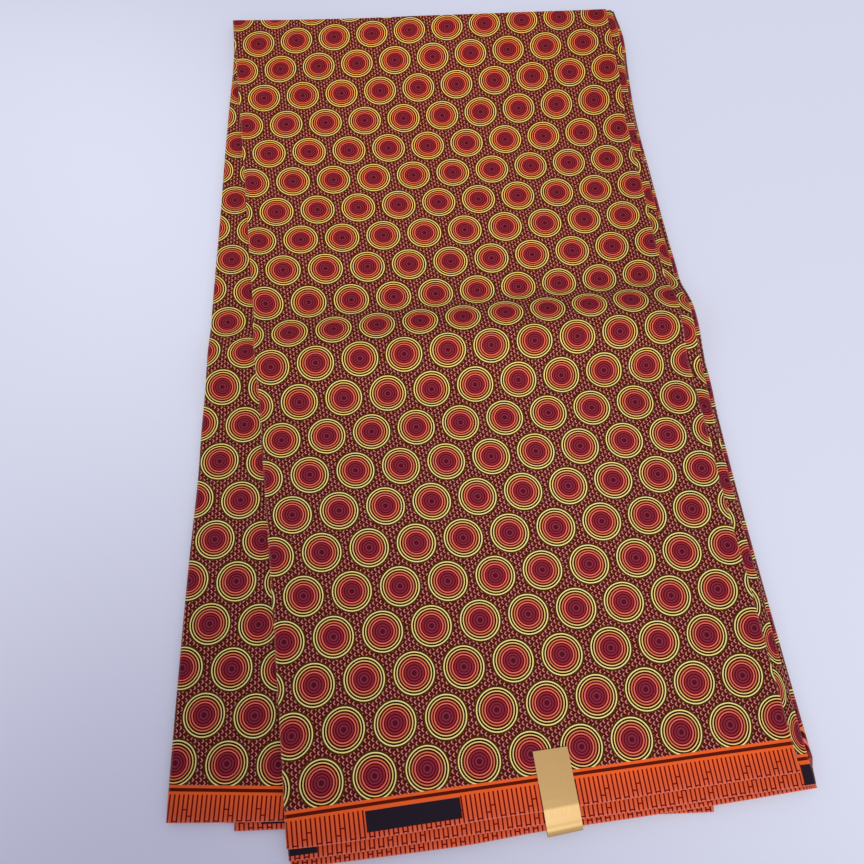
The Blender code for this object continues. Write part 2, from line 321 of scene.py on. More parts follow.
def pressedEdge(rows):
    # a doubled panel's edge: round at the folds, two plies with a groove at the selvedge end
    cut = (rows <= 1).astype(float)
    steps = []
    for degrees, cutShare, cutStand in pressedSteps:
        turn = math.radians(degrees)
        share = 0.5 + 0.5 * math.sin(turn)
        stand = layers["edgeRound"] * math.cos(turn)
        steps.append((share + (cutShare - share) * cut, stand + (cutStand - stand) * cut, 0.0))
    return steps


def layeredEdge(count):
    # rolls one above another, each uneven in its own way along the edge
    def edge(rows):
        along = np.arange(len(rows)) * rollWork["spacing"]
        steps = []
        for roll in range(count):
            sway = sum(most * np.sin(along / (scale + longer * roll) + start * roll)
                       for most, scale, longer, start in rollWork["sways"])
            for part, stand in rollWork["outline"]:
                share = np.full(len(rows), 1.0 - (roll + part) / count)
                steps.append((share, stand + rollWork["swayShare"] * sway, rollWork["printShift"] * roll))
        # the last groove would lie on the floor
        return steps[:-1]
    return edge


def makeThing(name, points, faces, maps):
    # a smooth mesh from places in the cloth's own millimetres, with a map for each set of places given
    placed = points * mm
    placed[:, 0] += clothPlace["acrossShift"] * mm
    placed[:, 1] += clothPlace["upShift"] * mm
    mesh = bpy.data.meshes.new(name)
    mesh.from_pydata(placed.tolist(), [], faces)
    corners = np.array([spot for face in faces for spot in face])
    for label, places in maps.items():
        layer = mesh.uv_layers.new(name=label)
        layer.data.foreach_set("uv", (places[corners] * mm).astype(np.float32).ravel())
    mesh.polygons.foreach_set("use_smooth", np.ones(len(faces), bool))
    mesh.update()
    thing = bpy.data.objects.new(name, mesh)
    bpy.context.scene.collection.objects.link(thing)
    print("made", name, len(faces), "faces")
    return thing


def edgeDistances(across, up, points):
    # distance in from the nearer long side and up from the selvedge end
    firstUp = follow(list(zip(across[0], up[0])), points[:, 0])
    left = follow(list(zip(up[:, 0], across[:, 0])), points[:, 1])
    right = follow(list(zip(up[:, -1], across[:, -1])), points[:, 1])
    side = np.minimum(points[:, 0] - left, right - points[:, 0])
    return np.stack([side, points[:, 1] - firstUp], -1)


def clothShell(name, across, up, under, over, edge, printOf):
    # a closed thin shell: top and bottom grids joined by the loops of its edge
    rows, cols, nx, ny = rimOf(across, up)
    top, bottom = over(across, up), under(across, up)
    points = [np.stack([across, up, high], -1).reshape(-1, 3) for high in (top, bottom)]
    rx, ry = across[rows, cols], up[rows, cols]
    rTop, rBottom = top[rows, cols], bottom[rows, cols]
    printX, printY = [across.ravel()] * 2, [up.ravel()] * 2
    loops = edge(rows)
    for share, stand, shift in loops:
        points.append(np.stack([rx + nx * stand, ry + ny * stand, rBottom + (rTop - rBottom) * share], -1))
        # the print runs on down the edge, and each roll shows another stretch of it
        reach = stand + (rTop - rBottom) * (1.0 - share) + shift
        printX.append(rx + nx * reach)
        printY.append(ry + ny * reach)
    points = np.concatenate(points)

    down, wide = across.shape
    half, around = down * wide, len(rows)
    index = np.arange(half).reshape(down, wide)
    a, b, c, d = index[:-1, :-1], index[:-1, 1:], index[1:, 1:], index[1:, :-1]
    faces = [np.stack([a, b, c, d], -1).reshape(-1, 4), np.stack([a, d, c, b], -1).reshape(-1, 4) + half]
    rings = [2 * half + step * around + np.arange(around) for step in range(len(loops))]
    rings = [index[rows, cols]] + rings + [index[rows, cols] + half]
    for upper, lower in zip(rings, rings[1:]):
        faces.append(np.stack([upper, lower, np.roll(lower, -1), np.roll(upper, -1)], -1))

    printPlaces = printOf(np.concatenate(printX), np.concatenate(printY))
    maps = {"print": printPlaces, "edge": edgeDistances(across, up, points)}
    return makeThing(name, points, np.concatenate(faces).tolist(), maps)


# the print: rings on a leaning lattice, counted in rows up from the selvedge
ringLattice = {
    "pitch": 29.5,
    "rowStep": 25.547,
    "lean": -0.5478,
    "ringRadius": 12.39,
    # shares of the radius
    "heartTo": 0.5,
    "outlineTo": 1.065,
    "rough": 0.012,
    # where the selvedge band begins
    "bandTop": -11.05,
}

# the top panel's lattice: its rows, where the last of them lies, how the rows bow and wave, and how the cloth
# is stretched and turned along its length, in ring pitches
topLattice = {
    "rows": 21.0,
    "lastRowUp": 27.4,
    "bow": -0.1677,
    "wave": -0.0275,
    "stretchBow": 0.0463,
    "stretchWave": 0.0803,
    "turnFar": -0.0077,
    "turnNear": -0.0097,
    "ringAcross": 21.8,
    "sideFrom": 3.5,
    # how far past both ends of the lattice these go on
    "reach": (-0.1, 1.1),
    "rounds": 6,
}

# how the top panel's cloth is drawn out of true, by row of rings: even, leaning and bowed part of the shift
# across, then of the shift up, in millimetres, with places across in decimetres
topDrawn = (
    (-0.6, 1.66, -1.65, 0.62, 0.12, -0.28, 0.20),
    (0.0, 1.66, -1.65, 0.62, 0.15, -0.05, -0.30),
    (2.0, -0.13, -0.87, -0.04, -0.05, 0.38, -0.39),
    (5.0, -0.39, -0.17, -0.07, 0.83, 0.68, -1.00),
    (8.0, 0.81, 0.23, -0.11, 0.63, 0.15, -0.70),
    (11.0, -0.23, 0.81, 0.58, 0.09, 0.32, -0.45),
    (13.0, -0.75, 0.16, 0.41, 0.73, 2.30, -2.11),
    (15.0, -0.67, 0.55, 0.47, 2.05, 1.40, -1.20),
    (17.0, 0.00, -0.06, 0.36, 3.61, 1.68, -1.76),
    (19.0, 0.06, -0.94, -0.25, 2.18, -0.63, -1.61),
    (21.0, 0.56, -2.06, -0.64, -1.38, -1.91, 0.22),
)


def alongCloth(across, up):
    # length up the cloth from its datum, over the packing crease
    c = packingCrease
    steps = np.linspace(-1.0, 1.0, c["slices"])
    high = creaseHeight(across)
    reach = np.where(steps > 0, c["far"], c["near"])
    slope = 0.5 * math.pi / reach * np.sin(math.pi * steps)
    extraShare = (slope ** 2 * reach * (steps[1] - steps[0])).cumsum()
    extraShare = (extraShare - extraShare[0]) * 0.5
    away = (up - c["up"]) / np.where(up > c["up"], c["far"], c["near"])
    extra = np.interp(np.clip(away, -1.0, 1.0), steps, extraShare) * high ** 2
    return up + extra


def bowAndWave(share, bow, wave):
    # drawn out of true along its length: an even bow and one whole wave
    return bow * 4.0 * share * (1.0 - share) + wave * np.sin(2.0 * math.pi * share)


def topPrint(across, up):
    # the lattice counts its rows down from the doubling fold, in ring pitches
    t, lattice = topLattice, ringLattice
    pitch, rowStep = lattice["pitch"], lattice["rowStep"]
    h = rowStep / pitch
    length = h * t["rows"] - (alongCloth(across, up) - t["lastRowUp"]) / pitch
    side = across / pitch + t["sideFrom"]
    v = length / h
    for _ in range(t["rounds"]):
        g = np.clip(v / t["rows"], *t["reach"])
        rest = bowAndWave(g, t["stretchBow"], t["stretchWave"])
        rest = rest + side * (t["turnFar"] * (1.0 - g) ** 3 + t["turnNear"] * g ** 3)
        v = (length - rest) / h
    g = np.clip(v / t["rows"], *t["reach"])
    u = across - bowAndWave(g, t["bow"], t["wave"]) * pitch - t["ringAcross"]
    row = t["rows"] - v
    parts = [follow(topDrawn, row, part) for part in range(1, 7)]
    x = across / 100.0  # decimetres
    u = u + parts[0] + parts[1] * x + parts[2] * x * x
    return np.stack([u, row * rowStep + parts[3] + parts[4] * x + parts[5] * x * x], -1)


def steadyPrint(ringAt, turn):
    # the lattice set down with one ring at this place
    def places(across, up):
        rise = turn * (across - ringAt[0])
        return np.stack([across - ringAt[0], alongCloth(across, up) - ringAt[1] - rise], -1)
    return places


# the second panel's lattice: a ring's place and the lean of its rows, how much closer it is drawn where the
# panel rolls over at the right, and how it is pulled across and turned further up the cloth
secondLattice = {
    "ringAcross": 184.8,
    "ringUp": 20.8,
    "lean": 0.0028,
    "leanFrom": 179.9,
    "rollFrom": 0.6,
    "closer": 0.88,
    "pulled": 3.4,
    "pulledFrom": 80.0,
    "pulledOver": 20.0,
    "turn": 0.2,
    "turnAt": 172.0,
    "turnFrom": 130.0,
    "turnOver": 30.0,
}

# how the second panel's cloth is drawn out of true, by place up the cloth: shift across and shift up
secondDrawn = ((235.0, 0.0, 0.0), (280.0, 5.0, -1.0), (320.0, 5.5, 3.0), (345.0, 6.5, 3.0), (366.0, 5.5, 6.5),
               (442.0, 5.0, 6.5), (500.0, 2.8, 2.0), (554.0, -1.5, -2.0))


def secondPrint(across, up):
    w = secondLattice
    rolled = np.maximum(across - topRight(up) - w["rollFrom"], 0.0)
    higher = np.clip((up - w["pulledFrom"]) / w["pulledOver"], 0.0, 1.0)
    turned = np.clip((up - w["turnFrom"]) / w["turnOver"], 0.0, 1.0)
    u = across - w["ringAcross"] + w["closer"] * rolled * (1.0 - higher) + w["pulled"] * higher
    v = alongCloth(across, up) - w["ringUp"] - w["lean"] * (across - w["leanFrom"])
    v = v + w["turn"] * turned * (across - w["turnAt"])
    drawnU, drawnV = (follow(secondDrawn, up, part) for part in (1, 2))
    return np.stack([u + drawnU, v + drawnV], -1)


# the third panel's lattice: one place where it lies flat, and another where it rolls over at the right, drawn
# closer near the selvedge end
thirdLattice = {
    "ring": (186.0, 27.0),
    "turn": 0.0097,
    "rollFrom": 5.0,
    "rollOver": 4.0,
    "rolledRing": (2.5, 32.6),
    "slant": 0.0552,
    "closer": 1.25,
    "closerFrom": 24.0,
    "closerOver": 20.0,
}


def thirdPrint(across, up):
    w = thirdLattice
    rolled = ease((across - secondRight(up) + w["rollFrom"]) / w["rollOver"])[..., None]
    length = alongCloth(across, up)
    flat = steadyPrint(w["ring"], w["turn"])(across, up)
    ringIn, ringUp = w["rolledRing"]
    u = across - thirdRight(up) + ringIn - w["slant"] * (length - ringUp)
    v = length - ringUp + w["closer"] * np.clip(w["closerFrom"] - length, 0.0, w["closerOver"])
    return flat + rolled * (np.stack([u, v], -1) - flat)


# the lattice of the panel that has slid to the left: a ring's place, the steps along a row and from row to
# row, and how each bends further up
fannedLattice = {
    "ring": (-153.94, 43.33),
    "firstStep": 27.7,
    "along": 29.30,
    "alongRise": 3.817,
    "row": 27.716,
    "rowShift": 12.40,
    "alongBend": 0.01,
    "rowBend": 0.043,
    "rounds": 6,
}


def fannedPrint(across, up):
    w, lattice = fannedLattice, ringLattice
    x, y = across - w["ring"][0], alongCloth(across, up) - w["ring"][1]
    j = y / w["firstStep"]
    for _ in range(w["rounds"]):
        i = (x + w["rowShift"] * j + w["alongBend"] * j * j) / w["along"]
        j = (y + w["alongRise"] * i + w["rowBend"] * j * j) / w["row"]
    return np.stack([lattice["pitch"] * (i + lattice["lean"] * j), lattice["rowStep"] * j], -1)


def tint(red, green, blue):
    # screen colour to the linear colour that the shader takes
    def linear(value):
        value /= 255.0
        return value / 12.92 if value <= 0.04045 else ((value + 0.055) / 1.055) ** 2.4
    return (linear(red), linear(green), linear(blue), 1.0)


class Sums:
    # short way to write the arithmetic of one node tree
    def __init__(self, tree):
        self.tree = tree

    def put(self, socket, value):
        if isinstance(value, bpy.types.NodeSocket):
            self.tree.links.new(value, socket)
        else:
            socket.default_value = value

    def do(self, how, *values, clamp=False):
        node = self.tree.nodes.new("ShaderNodeMath")
        node.operation = how
        node.use_clamp = clamp
        for socket, value in zip(node.inputs, values):
            self.put(socket, value)
        return node.outputs[0]

    def blend(self, share, one, two, how="MIX"):
        node = self.tree.nodes.new("ShaderNodeMix")
        node.data_type = "RGBA"
        node.blend_type = how
        self.put(node.inputs["Factor"], share)
        self.put(node.inputs["A"], one)
        self.put(node.inputs["B"], two)
        return node.outputs["Result"]

    def band(self, value, low, high):
        # 1 between low and high
        return self.do("MULTIPLY", self.do("GREATER_THAN", value, low), self.do("LESS_THAN", value, high))

    def uneven(self, noise, most):
        # noise spread evenly about zero
        return self.do("MULTIPLY", self.do("SUBTRACT", noise, 0.5), most)

    def cell(self, value, size):
        # which cell the value falls in, and how far from its middle
        index = self.do("FLOOR", value)
        inside = self.do("SUBTRACT", self.do("SUBTRACT", value, index), 0.5)
        return index, self.do("MULTIPLY", inside, size)

    def uvMap(self, label):
        node = self.tree.nodes.new("ShaderNodeUVMap")
        node.uv_map = label
        return node.outputs[0]

    def split(self, vector):
        node = self.tree.nodes.new("ShaderNodeSeparateXYZ")
        self.put(node.inputs[0], vector)
        return node.outputs

    def ramp(self, value, stops, smooth=False):
        node = self.tree.nodes.new("ShaderNodeValToRGB")
        node.color_ramp.interpolation = "LINEAR" if smooth else "CONSTANT"
        marks = node.color_ramp.elements
        while len(marks) < len(stops):
            marks.new(0.5)
        for mark, (place, colour) in zip(marks, stops):
            mark.position = place
            mark.color = colour
        self.put(node.inputs["Fac"], value)
        return node.outputs["Color"]

    def noise(self, vector, scale, detail):
        node = self.tree.nodes.new("ShaderNodeTexNoise")
        self.put(node.inputs["Vector"], vector)
        self.put(node.inputs["Scale"], scale)
        self.put(node.inputs["Detail"], detail)
        return node.outputs["Fac"]

    def bump(self, height, strength, deep):
        node = self.tree.nodes.new("ShaderNodeBump")
        self.put(node.inputs["Strength"], strength)
        self.put(node.inputs["Distance"], deep)
        self.put(node.inputs["Height"], height)
        return node.outputs["Normal"]


def newMaterial(name):
    # a material, its sums and its shader
    material = bpy.data.materials.new(name)
    material.use_nodes = True
    return material, Sums(material.node_tree), material.node_tree.nodes["Principled BSDF"]


# screen colours of the print, red, green and blue
printColours = {
    "yellow": (252, 222, 140),
    "olive": (22, 12, 0),
    "warmYellow": (254, 208, 122),
    "rust": (64, 4, 0),
    "tan": (228, 118, 76),
    "darkRed": (84, 0, 0),
    "salmon": (238, 112, 102),
    "winePlum": (107, 0, 0),
    "plumWarm": (145, 45, 51),
    "plum": (132, 45, 63),
    "wine": (100, 2, 24),
    "heart": (84, 14, 28),
    "outline": (68, 42, 2),
    "ground": (98, 16, 14),
    "groundDeep": (68, 18, 6),
    "chevronPink": (214, 138, 134),
    "chevronPeach": (222, 140, 112),
    "selvedge": (240, 93, 38),
    "selvedgeLow": (224, 90, 50),
    "selvedgePale": (224, 102, 78),
    "tick": (110, 0, 0),
    "stripe": (90, 18, 4),
    "box": (36, 26, 36),
    "edgeThread": (236, 124, 100),
    "worn": (232, 190, 170),
}

# share of a ring's radius, from the middle out, and the colour from there on
ringColours = (
    (0.000, "heart"), (0.125, "plum"), (0.200, "wine"), (0.262, "plum"), (0.326, "wine"), (0.397, "plumWarm"),
    (0.458, "winePlum"), (0.530, "salmon"), (0.582, "darkRed"), (0.650, "tan"), (0.706, "rust"),
    (0.791, "warmYellow"), (0.838, "olive"), (0.921, "yellow"), (0.974, "outline"),
)

# how the colour shifts, warmer and less blue, from the selvedge end to the doubling fold, as shares of the
# cloth's length; each tone multiplies the colour
toneAlongLength = (
    (0.00, 0.98, 1.07, 1.12), (0.30, 1.03, 1.14, 1.14), (0.50, 1.01, 1.03, 0.87), (0.94, 1.15, 0.98, 0.65),
)
toneAndHighlightWork = {
    "from": -0.26,
    "long": 0.54,
    # the tones are divided by this, to stay under 1, and the brightness is multiplied by it
    "scale": 1.25,
    # how much of this shift the hearts of the rings and the small marks escape
    "fast": 0.55,
    # painted highlight: brightest along this line, and falling off with the distance from it
    "middle": 0.015,
    "reach": 0.13,
    "most": 1.06,
    "fall": 0.10,
    "patchy": (0.94, 0.12),
    "patches": 26.0,
    # pale wear along the folds at the sides
    "wornWide": 0.9,
    "wornMost": 0.08,
}

# the small open chevrons of the ground, in millimetres, and how some of them turn peach
chevronWork = {
    "column": 2.21,
    "row": 3.35,
    "lean": 0.06,
    "thick": 0.33,
    "rough": 0.3,
    "armHalf": 1.08,
    "armSlope": 0.80,
    "tipAside": 0.42,
    "peachFrom": 0.55,
    "peachShare": 2.2,
}

# the selvedge band, with places up the cloth from its first row of rings
bandWork = {
    "line": (-14.4, -12.6),
    "box": (-27.2, -16.5),
    "tickTop": -15.9,
    "tickPitch": 2.595,
    "tickStart": 1.47,
    "tickHalf": 0.175,
    "repeat": 16.0,
    # gap in the repeat, and the bar's distance from the cloth's end
    "bars": ((0, 3.6), (1, 6.9), (3, 0.95), (5, 0.95), (7, 0.95), (9, 3.6), (10, 6.9), (12, 0.95),
             (14, 0.95)),
    "barHalf": 0.34,
    "dullOver": 7.0,
    "paleOver": 3.2,
    "paleMost": 0.9,
    "paleRough": 0.9,
    "threadWide": 0.3,
    "threadRough": 0.8,
    "threadShare": 0.42,
}

# the weave: yarn spacing in millimetres, grain of its slubs, and the finish of the cotton
weaveWork = {
    "yarnAcross": 0.46,
    "yarnUp": 0.42,
    "slub": 420.0,
    "slubShare": 1.6,
    "strength": 0.3,
    "deep": 0.00005,
    "rough": 0.7,
    "shine": 0.05,
}


def ringPattern(s, u, v, wobble):
    # colours of the rings, and the distance from the nearest ring's centre as a share of its radius
    lattice = ringLattice
    row = s.do("DIVIDE", v, lattice["rowStep"])
    rowBelow = s.do("FLOOR", row)
    tries = []
    for step in (0.0, 1.0):
        line = s.do("ADD", rowBelow, step)
        along = s.do("SUBTRACT", s.do("DIVIDE", u, lattice["pitch"]), s.do("MULTIPLY", line, lattice["lean"]))
        away = s.do("MULTIPLY", s.do("SUBTRACT", along, s.do("ROUND", along)), lattice["pitch"])
        off = s.do("MULTIPLY", s.do("SUBTRACT", row, line), lattice["rowStep"])
        tries.append(s.do("SQRT", s.do("ADD", s.do("MULTIPLY", away, away), s.do("MULTIPLY", off, off))))
    reach = s.do("DIVIDE", s.do("MINIMUM", *tries), lattice["ringRadius"])
    reach = s.do("ADD", reach, s.uneven(wobble, lattice["rough"]))
    return s.ramp(reach, [(place, tint(*printColours[colour])) for place, colour in ringColours]), reach


def chevronGround(s, u, v, wobble, flip):
    # ground of small open chevrons in columns, each column half a step from the last
    p, c = printColours, chevronWork
    slantU = s.do("ADD", u, s.do("MULTIPLY", v, c["lean"]))
    column = s.do("DIVIDE", s.do("MULTIPLY", slantU, flip), c["column"])
    columnIndex, inColumn = s.cell(column, c["column"])
    stagger = s.do("MULTIPLY", s.do("PINGPONG", columnIndex, 1.0), 0.5)
    tallIndex, inRow = s.cell(s.do("ADD", s.do("DIVIDE", v, c["row"]), stagger), c["row"])
    arm = s.do("ABSOLUTE", inRow)
    line = s.do("SUBTRACT", inColumn, s.do("MULTIPLY", arm, c["armSlope"]))
    line = s.do("ABSOLUTE", s.do("ADD", line, c["tipAside"]))
    thick = s.do("ADD", c["thick"], s.uneven(wobble, c["rough"]))
    chevron = s.do("MULTIPLY", s.do("LESS_THAN", line, thick), s.do("LESS_THAN", arm, c["armHalf"]))
    # some chevrons are peach and the rest pink
    pick = s.tree.nodes.new("ShaderNodeTexWhiteNoise")
    pick.noise_dimensions = "2D"
    cell = s.tree.nodes.new("ShaderNodeCombineXYZ")
    s.put(cell.inputs["X"], columnIndex)
    s.put(cell.inputs["Y"], tallIndex)
    s.put(pick.inputs["Vector"], cell.outputs[0])
    peach = s.do("SUBTRACT", pick.outputs["Value"], c["peachFrom"], clamp=True)
    peach = s.do("MULTIPLY", peach, c["peachShare"])
    chevronColour = s.blend(peach, tint(*p["chevronPink"]), tint(*p["chevronPeach"]))
    groundColour = s.blend(wobble, tint(*p["groundDeep"]), tint(*p["ground"]))
    return s.blend(chevron, groundColour, chevronColour), chevron


def selvedgeBand(s, u, v, fromEnd, wobble, flip, boxes, barsFrom):
    # a stripe, a dark line, a stripe, then ticks with short bars across, and the dark boxes
    p, w = printColours, bandWork
    tick = s.do("DIVIDE", s.do("SUBTRACT", s.do("MULTIPLY", u, flip), w["tickStart"]), w["tickPitch"])
    gapIndex = s.do("FLOOR", tick)
    inGap = s.do("SUBTRACT", tick, gapIndex)
    nearTick = s.do("MINIMUM", inGap, s.do("SUBTRACT", 1.0, inGap))
    belowTop = s.do("LESS_THAN", v, w["tickTop"])
    ticks = s.do("LESS_THAN", nearTick, w["tickHalf"])
    gap = s.do("FLOORED_MODULO", s.do("SUBTRACT", gapIndex, barsFrom[0]), w["repeat"])
    for index, height in w["bars"]:
        here = s.do("COMPARE", gap, float(index), 0.1)
        bar = s.do("MULTIPLY", here, s.do("COMPARE", fromEnd, height + barsFrom[1], w["barHalf"]))
        ticks = s.do("MAXIMUM", ticks, bar)

    duller = s.do("DIVIDE", s.do("SUBTRACT", w["tickTop"], v), w["dullOver"], clamp=True)
    stripes = s.blend(duller, tint(*p["selvedge"]), tint(*p["selvedgeLow"]))
    paler = s.do("SUBTRACT", 1.0, s.do("DIVIDE", fromEnd, w["paleOver"]), clamp=True)
    paler = s.do("ADD", s.do("MULTIPLY", paler, w["paleMost"]), s.uneven(wobble, w["paleRough"]), clamp=True)
    stripes = s.blend(s.do("MULTIPLY", paler, belowTop), stripes, tint(*p["selvedgePale"]))

    band = s.blend(s.do("MULTIPLY", ticks, belowTop), stripes, tint(*p["tick"]))
    band = s.blend(s.band(v, *w["line"]), band, tint(*p["stripe"]))
    for low, high in boxes:
        beside = s.band(u, low, high)
        band = s.blend(s.do("MULTIPLY", beside, s.band(v, w["box"][1], w["tickTop"])), band, stripes)
        inside = s.do("MULTIPLY", beside, s.band(v, *w["box"]))
        band = s.blend(inside, band, tint(*p["box"]))
    return band


def toneHighlightAndWear(s, colour, fast, fromSide, printMap):
    # slow shift of the colour along the cloth, random unevenness, a painted highlight brightest along a line
    # up the middle, and paler wear along the folds at the sides
    d = toneAndHighlightWork
    spot = s.tree.nodes.new("ShaderNodeTexCoord")
    place = s.split(spot.outputs["Object"])
    length = s.do("DIVIDE", s.do("SUBTRACT", place["Y"], d["from"]), d["long"])
    tones = [(line[0], tuple(value / d["scale"] for value in line[1:]) + (1.0,)) for line in toneAlongLength]
    level = (1.0 / d["scale"],) * 3 + (1.0,)
    tone = s.blend(s.do("MULTIPLY", fast, d["fast"]), s.ramp(length, tones, smooth=True), level)
    colour = s.blend(1.0, colour, tone, "MULTIPLY")
    # painted highlight: brighter along a line up the middle of the pile, darker towards its sides
    aside = s.do("DIVIDE", s.do("SUBTRACT", place["X"], d["middle"]), d["reach"])
    paintedHighlight = s.do("SUBTRACT", d["most"], s.do("MULTIPLY", s.do("MULTIPLY", aside, aside), d["fall"]))
    least, more = d["patchy"]
    patchy = s.do("ADD", least, s.do("MULTIPLY", s.noise(printMap, d["patches"], 3.0), more))
    highlightedAndPatchy = s.tree.nodes.new("ShaderNodeHueSaturation")
    s.put(highlightedAndPatchy.inputs["Value"], s.do("MULTIPLY", patchy, s.do("MULTIPLY", paintedHighlight, d["scale"])))
    s.put(highlightedAndPatchy.inputs["Color"], colour)
    worn = s.do("SUBTRACT", 1.0, s.do("DIVIDE", fromSide, d["wornWide"]), clamp=True)
    worn = s.do("MULTIPLY", worn, d["wornMost"])
    return s.blend(worn, highlightedAndPatchy.outputs["Color"], tint(*printColours["worn"]))


def printedCotton(name, flip=1.0, boxes=(), barsFrom=(4.0, 0.0)):
    # flip turns the small marks over; barsFrom gives the gap where the bars begin, and how far up they stand
    material, s, shader = newMaterial(name)
    p, b, w = printColours, bandWork, weaveWork
    printMap = s.uvMap("print")
    u, v = (s.do("MULTIPLY", part, 1.0 / mm) for part in s.split(printMap)[:2])
    fromSide, fromEnd = (s.do("MULTIPLY", part, 1.0 / mm) for part in s.split(s.uvMap("edge"))[:2])
    wobble = s.noise(printMap, w["slub"], 2.0)

    rings, reach = ringPattern(s, u, v, wobble)
    ground, chevron = chevronGround(s, u, v, wobble, flip)
    between = s.do("GREATER_THAN", reach, ringLattice["outlineTo"])
    inBand = s.do("LESS_THAN", v, ringLattice["bandTop"])
    colour = s.blend(between, rings, ground)
    colour = s.blend(inBand, colour, selvedgeBand(s, u, v, fromEnd, wobble, flip, boxes, barsFrom))

    # woven edge: a few pale threads along the last of the cloth
    frayed = s.do("ADD", b["threadWide"], s.uneven(wobble, b["threadRough"]))
    thread = s.do("MULTIPLY", s.do("LESS_THAN", fromEnd, frayed), b["threadShare"])
    colour = s.blend(thread, colour, tint(*p["edgeThread"]))

    # the hearts of the rings and the small marks keep more of their red
    heart = s.do("LESS_THAN", reach, ringLattice["heartTo"])
    fast = s.do("MAXIMUM", heart, s.do("MULTIPLY", chevron, between))
    fast = s.do("SUBTRACT", fast, inBand, clamp=True)
    s.put(shader.inputs["Base Color"], toneHighlightAndWear(s, colour, fast, fromSide, printMap))

    # plain weave, finer than a print dot
    threadU = s.do("SINE", s.do("MULTIPLY", u, 2.0 * math.pi / w["yarnAcross"]))
    threadV = s.do("SINE", s.do("MULTIPLY", v, 2.0 * math.pi / w["yarnUp"]))
    weave = s.do("ADD", s.do("MULTIPLY", threadU, threadV), s.do("MULTIPLY", wobble, w["slubShare"]))
    s.put(shader.inputs["Normal"], s.bump(weave, w["strength"], w["deep"]))
    s.put(shader.inputs["Roughness"], w["rough"])
    s.put(shader.inputs["Specular IOR Level"], w["shine"])
    return material


def dress(thing, material, node, resting):
    # material, a place under the root, and the CAD node that the piece stands for hidden
    thing.data.materials.append(material)
    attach(thing, "root")
    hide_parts(node)
    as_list(resting)


def panelShell(piece):
    # the edge's loops stand out by as much as the grid is inset
    level, inset = levelOf(piece["place"]), layers["edgeRound"]
    left, right = moved(piece["left"], inset), moved(piece["right"], -inset)
    low, high = moved(piece["low"], inset), moved(piece["high"], -inset)
    across, up = planGrid(left, right, low, high, piece["fine"])

    def under(x, y):
        return layHeight(x, y, level)

    def over(x, y):
        return layHeight(x, y, level + layers["wall"])

    return clothShell(piece["name"], across, up, under, over, pressedEdge, piece["print"])


# the panels from the lowest up: boxes are the ends of the dark boxes across the print, and bars is barsFrom
panelPieces = (
    {
        "name": "lowerCloth", "node": "lower_panel", "place": 1, "fine": 5.0,
        "left": lowerLeft, "right": lowerRight, "low": lowerEnd, "high": lowerFold,
        "print": steadyPrint((-100.0, 34.0), -lowerLie["lean"]), "flip": -1.0,
        "boxes": ((-36.0, -22.0),), "bars": (8.0, 0.2),
        "flat": (0.272, 0.585), "on": ["innerFolds"],
    },
    {
        "name": "fannedCloth", "node": "fanned_panel", "place": 2, "fine": 4.0,
        "left": fannedLeft, "right": moved(thirdRight, -5.0),
        "low": endLine("fanned"), "high": endLine("fannedFold"),
        "print": fannedPrint, "flip": -1.0, "boxes": (), "bars": (13.0, -0.4),
        "flat": (0.338, 0.572), "on": ["lowerCloth", "innerFolds"],
    },
    {
        "name": "thirdCloth", "node": "third_panel", "place": 3, "fine": 4.0,
        "left": moved(topLeft, 1.4), "right": thirdRight,
        "low": endLine("third"), "high": endLine("upperFold"),
        "print": thirdPrint, "flip": 1.0, "boxes": (), "bars": (7.0, 1.0),
        "flat": (0.303, 0.592), "on": ["fannedCloth"],
    },
    {
        "name": "secondCloth", "node": "second_panel", "place": 4, "fine": 4.0,
        "left": moved(topLeft, 0.7), "right": secondRight,
        "low": endLine("second"), "high": endLine("upperFold"),
        "print": secondPrint, "flip": 1.0, "boxes": ((-335.0, -289.7), (-8.7, 60.0)), "bars": (6.0, 0.0),
        "flat": (0.300, 0.590), "on": ["thirdCloth"],
    },
    {
        "name": "topCloth", "node": "top_panel", "place": 5, "fine": 3.0,
        "left": topLeft, "right": topRight, "low": endLine("top"), "high": endLine("upperFold"),
        "print": topPrint, "flip": 1.0, "boxes": ((-95.9, -43.3),), "bars": (4.0, 0.0),
        "flat": (0.296, 0.584), "on": ["secondCloth"],
    },
)

# the hidden folds: how far in their sides lie, and the ledges beside the lower panel
foldsShape = {
    "insetLeft": 3.0,
    "insetRight": 4.0,
    "ledgeClear": 0.5,
    "ledgeStep": 0.3,
    "sideColumns": (0.25, 0.5, 0.75),
    "middleColumns": 47,
    "rolls": 8,
    "fine": 6.0,
    "ringAt": (70.0, 40.0),
    "flat": (0.345, 0.575),
}


def partWay(one, two, share):
    # a line that lies this share of the way from one line to another
    return lambda up: one(up) + share * (two(up) - one(up))


